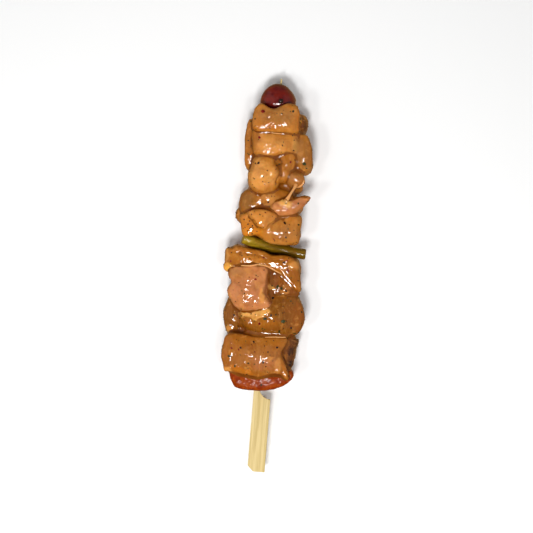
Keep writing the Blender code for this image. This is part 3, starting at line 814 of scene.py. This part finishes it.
def bean_material():
    """Olive skin with long pale and dark lines, paler at its left end, and painted shade darkening the side
    that faces down.
    """
    nodes = Nodes("bean_skin")
    along = nodes.attribute("along")
    lines = nodes.noise(1.6, 3.0, 0.6, 0.3, (0.12, 1.0, 1.0))
    base = nodes.blotched(BEAN_END, BEAN_OLIVE, along, 0.0, 0.55)
    base = nodes.blotched(base, BEAN_DARK_LINE, lines, 0.42, 0.62, 0.5)
    base = nodes.blotched(base, BEAN_PALE_LINE, lines, 0.44, 0.28, 0.45)
    base = nodes.blotched(base, BEAN_STAIN, nodes.noise(2.5, 2.0), 0.55, 0.7, 0.5)
    # Painted shade: darker on the side that faces down
    base = nodes.mix(nodes.times(nodes.attribute("under"), 0.7), base, BEAN_UNDER_SHADE)
    bumps = nodes.bump(lines, 0.4, 0.6)
    bumps = nodes.bump(nodes.noise(1.4), 0.2, 0.5, bumps)
    nodes.set(Base_Color=base, Roughness=0.35, Normal=bumps)
    see_through(nodes, 0.08, (0.5, 1.0, 0.2), 2.0)
    wet(nodes, 0.35, 0.1)
    nodes.set(Coat_Normal=bumps)
    return nodes.material


# The seeds swell the bean at this spacing, and its colour runs along its length from its left end
BEAN_SEED_TURN = 0.55
BEAN_LEFT_END = -16.0
BEAN_LENGTH = 40.0


def make_bean():
    """The green bean across the kebab, swollen over its seeds."""
    piece = unfaceted("green_bean", 0.5, 5)
    mesh = piece.data
    points = points_of(mesh)
    normals = normals_of(mesh)
    flat = flat_places(points)
    swell = 0.16 * np.sin(flat[:, 0] * BEAN_SEED_TURN + 0.8) + 0.22 * noise_at(points, 5.0, 4)
    set_points(mesh, points + normals * swell[:, None] * MM)
    store(mesh, "along", (flat[:, 0] - BEAN_LEFT_END) / BEAN_LENGTH)
    # The mask of the painted shade: how far the surface faces down
    store(mesh, "under", smooth_step(0.2, -0.8, normals[:, 2]))
    mesh.shade_smooth()
    mesh.materials.append(bean_material())
    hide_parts("green_bean")
    return piece


PEPPER_FLESH = linear(150, 60, 4)
PEPPER_DEEP_FLESH = linear(124, 38, 2)
PEPPER_PALE_FLESH = linear(190, 92, 28)
# Painted shade for the pepper's hollows
PEPPER_HOLLOW_SHADE = linear(98, 28, 8)
PEPPER_SKIN = linear(112, 20, 14)
PEPPER_DARK_SKIN = linear(88, 12, 12)


def pepper_material():
    """Orange flesh on the cut side, darkened by painted shade in its hollows, and dark red skin on the side
    towards the handle.
    """
    nodes = Nodes("pepper")
    flesh = nodes.blotched(PEPPER_FLESH, PEPPER_DEEP_FLESH, nodes.noise(4.0, 3.0, 0.6), 0.35, 0.65)
    flesh = nodes.blotched(flesh, PEPPER_PALE_FLESH, nodes.noise(1.6, 2.0), 0.55, 0.7, 0.4)
    # Painted shade: the flesh darkens in the hollows
    flesh = nodes.blotched(flesh, PEPPER_HOLLOW_SHADE, nodes.attribute("hollow"), 0.0, 0.5, 0.6)
    skin = nodes.blotched(PEPPER_SKIN, PEPPER_DARK_SKIN, nodes.noise(5.0, 2.0), 0.4, 0.6)
    colour = nodes.mix(nodes.attribute("skin"), flesh, skin)
    bumps = nodes.bump(nodes.noise(2.6, 0.0, 0.5, 0.3), 0.3, 1.0)
    nodes.set(Base_Color=colour, Roughness=0.4)
    see_through(nodes, 0.15, (1.0, 0.25, 0.1), 3.0)
    wet(nodes, 0.08, 0.12)
    nodes.set(Coat_Normal=bumps)
    return nodes.material


def make_pepper():
    """The piece of pepper at the handle's end."""
    piece = unfaceted("red_pepper", 0.55, 8)
    mesh = piece.data
    normals = normals_of(mesh)
    facing_handle = smooth_step(0.5, 0.85, -normals[:, 1]) * (1 - smooth_step(0.3, 0.6, normals[:, 2]))
    roughened(mesh, (0.40, 5.5, 7), (0.08, 2.0, 8))
    store(mesh, "skin", facing_handle)
    # Stored for the painted shade in the hollows
    store(mesh, "hollow", np.clip(hollowness(piece) * 1.4, -1.0, 1.0))
    mesh.shade_smooth()
    mesh.materials.append(pepper_material())
    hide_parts("red_pepper")
    return piece


BAMBOO = linear(220, 194, 130)
BAMBOO_GRAIN = linear(198, 172, 106)
BAMBOO_PALE = linear(226, 204, 146)
BAMBOO_FIBRE = linear(170, 138, 76)


def bamboo_material():
    """Pale bamboo with its grain along the skewer."""
    nodes = Nodes("bamboo")
    grain = nodes.noise(1.0, 4.0, 0.65, 0.0, (1.0, 0.02, 1.0))
    broad = nodes.noise(3.0, 2.0, 0.5, 0.0, (1.0, 0.03, 1.0))
    fine = nodes.noise(0.35, 3.0, 0.6, 0.0, (1.0, 0.015, 1.0))
    base = nodes.blotched(BAMBOO, BAMBOO_GRAIN, grain, 0.38, 0.64)
    base = nodes.blotched(base, BAMBOO_PALE, broad, 0.45, 0.7, 0.5)
    base = nodes.blotched(base, BAMBOO_FIBRE, fine, 0.52, 0.68, 0.5)
    matt = nodes.ramp(grain, 0.3, 0.7, 0.5, 0.7)
    nodes.set(Base_Color=base, Roughness=matt, Normal=nodes.bump(fine, 0.06, 0.6))
    return nodes.material


EASED_EDGE = 0.22


def make_skewer():
    """The bamboo with its edges eased."""
    piece = food_copy("skewer")
    shape = bmesh.new()
    shape.from_mesh(piece.data)
    bmesh.ops.remove_doubles(shape, verts=shape.verts, dist=0.01 * MM)
    bmesh.ops.dissolve_limit(shape, angle_limit=math.radians(2), verts=shape.verts, edges=shape.edges)
    shape.to_mesh(piece.data)
    shape.free()
    ease = piece.modifiers.new("ease", "BEVEL")
    ease.width = EASED_EDGE * MM
    ease.segments = 2
    ease.limit_method = "ANGLE"
    ease.angle_limit = math.radians(40)
    apply_modifiers(piece)
    piece.data.shade_smooth()
    piece.data.set_sharp_from_angle(angle=math.radians(30))
    piece.data.materials.append(bamboo_material())
    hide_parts("skewer")
    return piece


def cord_mesh(name, places, radii, sides=10):
    """A tapering round string through these places, closed at its ends."""
    shape = bmesh.new()
    rings = []
    for i, point in enumerate(places):
        along = (places[min(i + 1, len(places) - 1)] - places[max(i - 1, 0)]).normalized()
        across = along.cross(Vector((0, 0, 1))).normalized()
        up = across.cross(along)
        ring = []
        for k in range(sides):
            angle = math.tau * k / sides
            outward = across * math.cos(angle) + up * math.sin(angle)
            ring.append(shape.verts.new(point + outward * radii[i] * MM))
        rings.append(ring)
    for ring, following in zip(rings, rings[1:]):
        for k in range(sides):
            shape.faces.new((ring[k], ring[(k + 1) % sides], following[(k + 1) % sides], following[k]))
    shape.faces.new(list(reversed(rings[0])))
    shape.faces.new(rings[-1])
    bmesh.ops.recalc_face_normals(shape, faces=shape.faces)
    made = shaped(name, shape)
    made.data.shade_smooth()
    return made


def dropped(trees, x, y):
    """The place and normal where a line straight down at x, y first meets the food."""
    best = None
    for tree in trees:
        at, normal, _, _ = tree.ray_cast(place(x, y, ABOVE_ALL), Vector((0, 0, -1)))
        if at is not None and (best is None or at.z > best[0].z):
            best = (at, normal)
    return best


SINEW_PALE = linear(236, 176, 112)
SINEW_GOLDEN = linear(222, 146, 76)


def sinew_material():
    """Wet, pale and a little see-through."""
    nodes = Nodes("sinew")
    base = nodes.mix(nodes.noise(2.0, 2.0), SINEW_PALE, SINEW_GOLDEN)
    nodes.set(Base_Color=base, Roughness=0.35, Normal=nodes.bump(nodes.noise(0.9), 0.2))
    see_through(nodes, 0.2, (1.0, 0.5, 0.2), 2.0)
    wet(nodes)
    return nodes.material


# The string that hangs between two chunks: its curve, its points, and its radius where it is thinnest
HANGING_CURVE = [(14.6, -66.0, 33.0), (13.4, -69.4, 36.0), (11.6, -72.0, 38.0), (8.6, -78.4, 36.6)]
HANGING_POINTS = 18
HANGING_THIN = 0.75
HANGING_WIDENING = 0.9

# The strings that lie on the meat: path and radius, and how far their middle stands off the meat
LYING = {
    "sinew_fold": ([(-22.3, -120.9), (-16, -120.3), (-10.3, -119.9), (-4, -118.6), (0.5, -119.1),
                    (6, -121.4), (10, -123.2)], 0.55),
    "sinew_rim": ([(19.4, -62.6), (18.6, -65.2), (16.6, -67.0), (14.4, -67.6)], 0.6),
    "sinew_seam": ([(3, -164.4), (9, -163.8), (14, -163.6), (17.4, -163.2)], 0.4),
    "sinew_edge": ([(-4, -34.7), (2, -34.6), (8, -34.3)], 0.35),
}
STANDS_OFF = 0.25


def hanging_radius(i):
    """Thinnest near its middle, wider at the chunks that hold it."""
    return HANGING_THIN + HANGING_WIDENING * abs(2 * i / (HANGING_POINTS - 1) - 0.9) ** 2.2


def make_sinews(trees):
    """Pale strings and membrane edges: one hangs free between two chunks, the others lie on the meat."""
    material = sinew_material()
    hanging = interpolate_bezier(*[place(*at) for at in HANGING_CURVE], HANGING_POINTS)
    made = [cord_mesh("sinew_hanging", hanging, [hanging_radius(i) for i in range(HANGING_POINTS)])]
    for name, (corners, radius) in LYING.items():
        line = [dropped(trees, x, y) for x, y in curve_points(corners, 8)]
        places = [at + normal * STANDS_OFF * MM for at, normal in line]
        bulge = [math.sin(math.pi * (i + 0.5) / len(places)) for i in range(len(places))]
        made.append(cord_mesh(name, places, [radius * (0.5 + 0.5 * share) for share in bulge], 8))
    for piece in made:
        piece.data.materials.append(material)
    return made


# The flakes that the solids carry, at the same places: x, y and radius
LARGE_FLAKES = [
    (-10, -21.5, 1.5, "chilli"), (9, -20, 1.0, "herb"), (2, -22, 0.8, "herb"),
    (19, -52.5, 1.5, "herb"), (20.5, -55.0, 1.1, "herb"), (-11, -38, 1.2, "chilli"), (4, -42, 0.9, "dark"),
    (-10.2, -54.5, 1.1, "dark"), (10, -52, 1.0, "chilli"),
    (-2, -78.5, 0.9, "dark"), (17, -78, 0.9, "herb"),
    (9.5, -91, 1.1, "dark"), (-12, -96, 1.0, "dark"), (11, -100, 0.9, "dark"),
    (14, -121, 1.3, "chilli"), (-2, -114, 1.0, "chilli"), (11, -116, 0.9, "dark"),
    (8.3, -131.5, 1.6, "herb"), (10.8, -132.6, 1.3, "herb"), (5.9, -139, 1.2, "dark"),
    (-6, -128, 0.9, "chilli"), (14, -134, 1.0, "dark"),
    (1.9, -152.5, 1.4, "herb"), (13.7, -153.2, 1.6, "herb"), (11.6, -160, 1.3, "herb"),
    (-1.3, -156, 1.1, "chilli"), (5.5, -150, 1.0, "dark"), (18.9, -157, 1.0, "dark"),
    (-18, -152, 1.0, "dark"),
    (-4, -167.5, 1.0, "dark"), (11, -170, 1.0, "dark"), (-19, -178, 1.2, "herb"), (3, -180, 1.2, "dark"),
    (-12, -172, 0.9, "dark"), (3, -195, 0.9, "herb"),
]

# The cluster of dark specks left of the folded flap
CLUSTER = [(-16.4, -90.9), (-12.8, -91.5), (-13.7, -93.6), (-10.8, -94.4), (-15.4, -95.8), (-7.3, -94.9),
           (-10.3, -95.7), (-13.6, -97.8), (-7.7, -97.7), (-10.6, -99.4)]

# How many specks each chunk carries, and the kinds of every eleven, with their least and greatest radius
SPECKS = dict(zip(CHICKEN, (80, 130, 110, 120, 200, 170, 150, 300, 140)))
SPECK_KINDS = [("dark", 0.36, 0.75)] * 7 + [("herb", 0.45, 1.0)] * 3 + [("chilli", 0.4, 0.8)]
SPECKS_ABOVE = 1.5

FLAKE_KINDS = {
    "herb": (linear(58, 62, 18), linear(30, 34, 12)),
    "dark": (linear(30, 18, 8), linear(14, 8, 4)),
    "chilli": (linear(134, 26, 14), linear(92, 14, 10)),
}


def add_flake(shape, at, normal, radius, thickness, draw):
    """A thin curled crumb with an uneven outline, lying on the food."""
    sides = draw.randint(5, 7)
    side = normal.orthogonal().normalized()
    side = Matrix.Rotation(draw.uniform(0, math.tau), 3, normal) @ side
    across = normal.cross(side)
    oval = draw.uniform(0.5, 0.85)
    top, bottom = [], []
    for k in range(sides):
        angle = math.tau * k / sides
        reach = radius * draw.uniform(0.75, 1.1)
        offset = side * math.cos(angle) * reach + across * math.sin(angle) * reach * oval
        curl = draw.uniform(-0.2, 0.35) * thickness
        top.append(shape.verts.new(at + (offset * 0.85 + normal * (thickness + curl)) * MM))
        bottom.append(shape.verts.new(at + (offset - normal * thickness) * MM))
    shape.faces.new(top)
    shape.faces.new(list(reversed(bottom)))
    for k in range(sides):
        j = (k + 1) % sides
        shape.faces.new((bottom[k], bottom[j], top[j], top[k]))


def random_spots(mesh, count, draw):
    """Places all over a chunk, evenly by area, with their normals."""
    sizes = [polygon.area for polygon in mesh.polygons]
    chosen = draw.choices(mesh.polygons, weights=sizes, k=count)
    return [(polygon.center.copy(), polygon.normal.copy()) for polygon in chosen]


def flake_material(kind):
    """Two tones of a dried crumb, hardly shiny."""
    nodes = Nodes(kind + "_flake")
    first, second = FLAKE_KINDS[kind]
    base = nodes.blotched(first, second, nodes.noise(1.2, 2.0), 0.4, 0.6)
    slopes = nodes.bump(nodes.noise(0.5), 0.1)
    nodes.set(Base_Color=base, Roughness=0.4, Normal=slopes, Specular_IOR_Level=0.15)
    return nodes.material


def make_flakes(meat, trees):
    """All flakes and specks, one piece of each kind."""
    draw = random.Random(11)
    shapes = {kind: bmesh.new() for kind in FLAKE_KINDS}
    for x, y, radius, kind in LARGE_FLAKES:
        add_flake(shapes[kind], *dropped(trees, x, y), radius, 0.3, draw)
    for x, y in CLUSTER:
        add_flake(shapes["dark"], *dropped(trees, x, y), draw.uniform(0.5, 0.8), 0.2, draw)
    for node, count in SPECKS.items():
        for at, normal in random_spots(meat[node].data, count, draw):
            kind, least, most = draw.choice(SPECK_KINDS)
            radius = least + (most - least) * draw.random() ** 2
            if at.z > SPECKS_ABOVE * MM:
                add_flake(shapes[kind], at, normal, radius, 0.16 + 0.1 * radius, draw)
    made = []
    for kind, shape in shapes.items():
        bmesh.ops.recalc_face_normals(shape, faces=shape.faces)
        piece = shaped(kind + "_flakes", shape)
        piece.data.materials.append(flake_material(kind))
        made.append(piece)
    return made


SEED_AT = (0.7, -13.6)
SEED_RADIUS = 1.55
SEED_RAISED = 0.3
SEED_BROWN = linear(46, 26, 18)
SEED_BLACK = linear(22, 14, 12)


def peppercorn_material():
    """Dark, wrinkled and wet."""
    nodes = Nodes("peppercorn")
    base = nodes.mix(nodes.noise(0.8, 2.0), SEED_BROWN, SEED_BLACK)
    nodes.set(Base_Color=base, Roughness=0.45, Normal=nodes.bump(nodes.noise(0.6), 0.3))
    wet(nodes, 0.7, 0.12)
    return nodes.material


def make_peppercorn(tomato_tree):
    """The dark round seed that sits on the tomato."""
    at, normal = dropped([tomato_tree], *SEED_AT)
    shape = bmesh.new()
    bmesh.ops.create_icosphere(shape, subdivisions=3, radius=SEED_RADIUS * MM)
    for vert in shape.verts:
        vert.co *= 1 + 0.18 * noise.noise(vert.co / (0.7 * MM))
    bmesh.ops.translate(shape, verts=shape.verts, vec=at + normal * SEED_RAISED * MM)
    piece = shaped("peppercorn", shape)
    piece.data.shade_smooth()
    piece.data.materials.append(peppercorn_material())
    return piece


# The picture's frame: one pixel is this long at the height of the meat's top
PIXEL = 0.635
IMAGE_PIXELS = 533
SHARP_HEIGHT = 36.0
CAMERA_HEIGHT = 1019.0
VIEW_CENTRE = (0.2, -119.4)
ROLL = 4.66


def make_camera():
    """Straight above the kebab, and turned so that it lies a little askew."""
    data = bpy.data.cameras.new("camera")
    data.sensor_width = 36.0
    distance = CAMERA_HEIGHT - SHARP_HEIGHT
    half = PIXEL * IMAGE_PIXELS / 2
    data.lens = data.sensor_width / 2 * distance / half
    data.clip_start = 0.05
    camera = bpy.data.objects.new("camera", data)
    bpy.context.scene.collection.objects.link(camera)
    camera.location = place(*VIEW_CENTRE, CAMERA_HEIGHT)
    camera.rotation_euler = (0, 0, math.radians(ROLL))
    bpy.context.scene.camera = camera


# Each lamp's place in metres, its power in watts and its size in metres
LAMPS = {
    "key": ((-0.05, -0.25, 0.92), 5.7, 0.15),
    "second": ((0.14, -0.14, 0.93), 1.4, 0.10),
    "left_spot": ((-0.30, -0.24, 0.87), 1.3, 0.10),
    "left": ((-1.1, 0.3, 0.75), 3.6, 2.0),
    "right": ((1.1, 0.1, 0.75), 2.6, 2.0),
}


def make_lamp(name, at, energy, size):
    """A square white lamp that points at the kebab."""
    data = bpy.data.lights.new(name, "AREA")
    data.energy = energy
    data.size = size
    lamp = bpy.data.objects.new(name, data)
    lamp.location = at
    lamp.rotation_mode = "QUATERNION"
    lamp.rotation_quaternion = (-Vector(at)).to_track_quat("-Z", "Y")
    bpy.context.scene.collection.objects.link(lamp)


# The room's light below and above the horizon: how high up, 0 to 1, and its colour
ROOM_LIGHT = [(0.40, (0.42, 0.24, 0.10, 1.0)), (0.52, (0.14, 0.14, 0.135, 1.0))]


def make_world():
    """Soft pale light from above, and below the floor a warm brown, which only the wet sides mirror."""
    world = bpy.data.worlds.new("room")
    world.use_nodes = True
    tree = world.node_tree
    spot = tree.nodes.new("ShaderNodeTexCoord")
    split = tree.nodes.new("ShaderNodeSeparateXYZ")
    ramp = tree.nodes.new("ShaderNodeValToRGB")
    for element, (height, colour) in zip(ramp.color_ramp.elements, ROOM_LIGHT):
        element.position = height
        element.color = colour
    shift = tree.nodes.new("ShaderNodeMath")
    shift.operation = "MULTIPLY_ADD"
    shift.inputs[1].default_value = 0.5
    shift.inputs[2].default_value = 0.5
    tree.links.new(spot.outputs["Generated"], split.inputs["Vector"])
    tree.links.new(split.outputs["Z"], shift.inputs[0])
    tree.links.new(shift.outputs["Value"], ramp.inputs["Fac"])
    tree.links.new(ramp.outputs["Color"], tree.nodes["Background"].inputs["Color"])
    bpy.context.scene.world = world


def make_room():
    """The white floor, the lamps and the room's light."""
    shape = bmesh.new()
    bmesh.ops.create_grid(shape, x_segments=1, y_segments=1, size=3.0)
    floor = shaped("floor", shape)
    nodes = Nodes("floor")
    nodes.set(Base_Color=(0.97, 0.97, 0.97, 1.0), Roughness=0.6)
    floor.data.materials.append(nodes.material)
    floor.visible_glossy = False
    make_world()
    for name, (at, energy, size) in LAMPS.items():
        make_lamp(name, at, energy, size)
    bpy.context.scene.view_settings.view_transform = "Standard"


def build():
    """All pieces in their order: marinade, strings and flakes need the finished chunks."""
    make_camera()
    make_room()
    meat, outline = make_all_meat()
    tomato = make_tomato()
    bean = make_bean()
    pepper = make_pepper()
    skewer = make_skewer()
    marinade = make_marinade([*meat.values(), pepper], meat[CHICKEN[0]].data.materials[0], outline)
    graph = bpy.context.evaluated_depsgraph_get()
    solid = [*meat.values(), tomato, bean, pepper]
    trees = [BVHTree.FromObject(piece, graph) for piece in solid]
    sinews = make_sinews(trees)
    flakes = make_flakes(meat, trees)
    seed = make_peppercorn(trees[len(meat)])
    for piece in [*solid, skewer, marinade, seed, *sinews, *flakes]:
        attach(piece, "root")


build()
